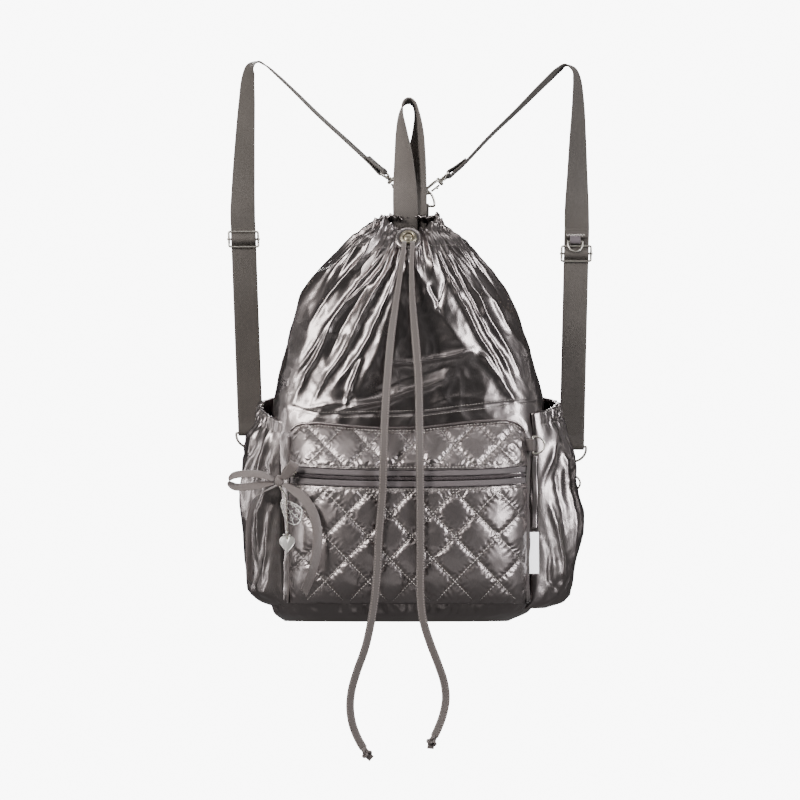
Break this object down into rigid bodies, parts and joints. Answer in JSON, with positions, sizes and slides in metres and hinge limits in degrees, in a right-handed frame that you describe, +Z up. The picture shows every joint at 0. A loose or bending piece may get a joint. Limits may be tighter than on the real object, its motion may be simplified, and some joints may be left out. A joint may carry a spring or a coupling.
{
  "type": "quilted puffer backpack",
  "caption": "Soft drawstring backpack with a gathered mouth, quilted front pocket, open side pockets, haul loop, clip-on webbing shoulder straps, ribbon bow and heart charm.",
  "frame": {"origin": "underside of the haul loop's crown, where the bag hangs on a hook", "axes": "+Z up, +X to the viewer's right seen from the quilted front, -Y out of the quilted front pocket and +Y towards the wearer's back"},
  "size_m": [0.3671, 0.169, 0.6951],
  "materials": {
    "shell": "thin coated nylon with a soft metallic sheen, creased",
    "quilting": "padded metallic nylon with pale diamond stitching",
    "webbing": "herringbone polyester webbing",
    "drawcord": "flat folded cord stitched along one edge",
    "ribbon": "matte grosgrain ribbon",
    "zipper_tape": "woven tape",
    "zipper_coil": "fine nylon coil",
    "strap_ring_tab": "grey twill tape",
    "nickel": "polished nickel plate",
    "old_brass": "dark antiqued brass",
    "silver": "polished silver plate, slightly worn",
    "label": "smooth white woven tape, bare"
  },
  "bodies": {
    "bag": {"bag_body": "shell", "pocket_lid": "quilting", "pocket_front": "quilting", "zipper_tape_upper": "zipper_tape", "zipper_coil": "zipper_coil", "zipper_tape_lower": "zipper_tape", "zipper_slider": "nickel", "zipper_pull": "nickel", "side_pocket_left": "shell", "side_pocket_right": "shell", "haul_loop": "webbing", "top_ring": "nickel", "top_ring_tab": "webbing", "strap_left": "webbing", "slider_left": "nickel", "hook_left_eye": "nickel", "hook_left_body": "nickel", "strap_right": "webbing", "slider_right": "nickel", "hook_right_eye": "nickel", "hook_right_body": "nickel", "foot_ring_left": "nickel", "foot_tab_left": "webbing", "foot_ring_right": "nickel", "foot_tab_right": "webbing", "drawcord_left": "drawcord", "cord_knot_left": "drawcord", "drawcord_right": "drawcord", "cord_knot_right": "drawcord", "eyelet": "old_brass", "bow_loop_left": "ribbon", "bow_loop_right": "ribbon", "bow_tail_left": "ribbon", "bow_tail_right": "ribbon", "bow_knot": "ribbon", "heart_charm": "silver", "charm_chain": "silver", "lace_motif": "silver", "seam_ring_tab": "webbing", "side_ring_tab": "webbing", "strap_ring_tab": "strap_ring_tab", "side_label": "label"},
    "gate_left": {"hook_left_gate": "nickel"},
    "gate_right": {"hook_right_gate": "nickel"},
    "seam_ring": {"seam_ring": "nickel"},
    "side_ring": {"side_ring": "nickel"},
    "strap_ring": {"strap_ring": "nickel"}
  },
  "joints": [
    {"name": "gate_left_hinge", "type": "hinge", "parent": "bag", "child": "gate_left", "pos_m": [-0.01727, 0.0187, -0.07973], "axis": [-0.6059, -0.5759, -0.5488], "range_deg": [0, 25], "stiffness_Nm_per_rad": 0.005, "springref_deg": -17.19},
    {"name": "gate_right_hinge", "type": "hinge", "parent": "bag", "child": "gate_right", "pos_m": [0.03089, 0.01868, -0.08078], "axis": [-0.5499, 0.5835, 0.5976], "range_deg": [0, 25], "stiffness_Nm_per_rad": 0.005, "springref_deg": -17.19},
    {"name": "seam_ring_swing", "type": "hinge", "parent": "bag", "child": "seam_ring", "pos_m": [0.124, -0.053, -0.341], "axis": [0, 0, -1], "range_deg": [0, 80]},
    {"name": "side_ring_swing", "type": "hinge", "parent": "bag", "child": "side_ring", "pos_m": [0.151, 0.056, -0.3795], "axis": [0, 0, 1], "range_deg": [0, 80]},
    {"name": "strap_ring_swing", "type": "hinge", "parent": "bag", "child": "strap_ring", "pos_m": [0.1675, 0.0479, -0.1368], "axis": [-1, 0, 0], "range_deg": [0, 110]}
  ]
}
